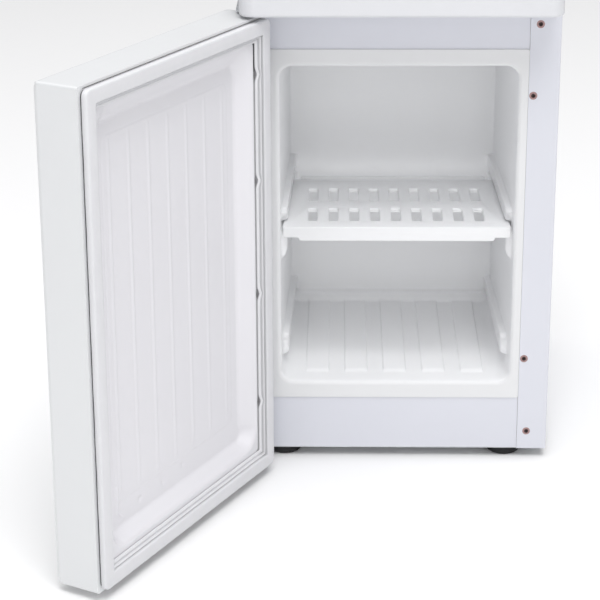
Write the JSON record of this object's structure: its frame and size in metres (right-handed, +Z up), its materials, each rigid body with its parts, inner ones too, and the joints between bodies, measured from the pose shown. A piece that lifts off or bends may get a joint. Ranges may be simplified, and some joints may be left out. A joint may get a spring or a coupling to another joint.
{
  "type": "mini fridge",
  "caption": "Small white free-standing refrigerator with a left-hinged insulated door, moulded compartment, slotted sliding shelf and rear compressor bay.",
  "frame": {"origin": "on the floor, under the centre of the cabinet's footprint (the cabinet's casing, without the door and the worktop's overhang)", "axes": "+Z up, -Y towards the open front and the door, +X to the right of someone facing the front"},
  "size_m": [0.4639, 0.6506, 0.5125],
  "materials": {
    "casing_white": "satin white paint on folded sheet",
    "liner_white": "vacuum-formed white plastic, soft gloss",
    "trim_white": "moulded white plastic, fine satin",
    "seal_white": "soft white vinyl seal",
    "magnet": "flexible magnet bar, enclosed",
    "foam": "rigid cream foam, enclosed",
    "zinc_steel": "galvanised sheet",
    "pin_steel": "turned steel",
    "screw_steel": "plated screw heads",
    "foot_rubber": "black rubber",
    "nylon": "natural nylon",
    "evaporator_aluminium": "rolled aluminium",
    "black_enamel": "black enamel",
    "copper_line": "drawn copper",
    "black_plastic": "moulded black plastic",
    "knob_plastic": "moulded dark grey plastic",
    "rear_grey": "light grey painted sheet",
    "lead_pvc": "insulated lead"
  },
  "bodies": {
    "cabinet": {"base_pan": "zinc_steel", "bottom_hinge_bracket": "zinc_steel", "bottom_hinge_pin": "pin_steel", "cabinet_foam": "foam", "capillary_tube": "copper_line", "compressor_base_plate": "zinc_steel", "compressor_bolts": "screw_steel", "compressor_grommets": "foot_rubber", "compressor_shell": "black_enamel", "condenser_brackets": "zinc_steel", "condenser_tube": "black_enamel", "condenser_wires": "black_enamel", "cord_gland": "black_plastic", "discharge_line": "copper_line", "evaporator_plate": "evaporator_aluminium", "evaporator_tube": "evaporator_aluminium", "filter_drier": "copper_line", "flange_screws": "screw_steel", "foam_back_sheet": "zinc_steel", "foot_screws": "screw_steel", "front_bottom_rail": "casing_white", "front_feet": "foot_rubber", "front_top_rail": "casing_white", "hinge_screws": "screw_steel", "hinge_washer": "nylon", "inner_liner": "liner_white", "liquid_line": "copper_line", "rear_cover": "rear_grey", "rear_cover_screws": "screw_steel", "rear_feet": "foot_rubber", "side_panel_left": "casing_white", "side_panel_right": "casing_white", "suction_line": "copper_line", "supply_lead": "lead_pvc", "terminal_block": "black_plastic", "terminal_cover": "black_plastic", "thermostat_body": "black_plastic", "thermostat_lead": "lead_pvc", "top_fascia": "trim_white", "top_hinge_bracket": "zinc_steel", "top_hinge_pin": "pin_steel", "top_seat_strips": "foot_rubber", "top_sheet": "zinc_steel", "worktop": "trim_white"},
    "door": {"door_bottom_cap": "trim_white", "door_foam": "foam", "door_gasket": "seal_white", "door_gasket_magnets": "magnet", "door_grip_cup": "trim_white", "door_hinge_bushes": "nylon", "door_inner_liner": "liner_white", "door_outer_shell": "casing_white", "door_top_cap": "trim_white"},
    "shelf": {"shelf": "liner_white"},
    "thermostat_knob": {"thermostat_knob": "knob_plastic"}
  },
  "joints": [
    {"name": "door_hinge", "type": "hinge", "parent": "cabinet", "child": "door", "pos_m": [-0.1465, -0.1945, 0.24], "axis": [0, 0, 1], "range_deg": [-14, 118]},
    {"name": "shelf_slide", "type": "slide", "parent": "cabinet", "child": "shelf", "axis": [0, -1, 0], "range_m": [0, 0.025]},
    {"name": "thermostat_turn", "type": "hinge", "parent": "cabinet", "child": "thermostat_knob", "pos_m": [-0.095, 0.18, 0.12], "axis": [0, 1, 0], "range_deg": [-135, 135]}
  ]
}
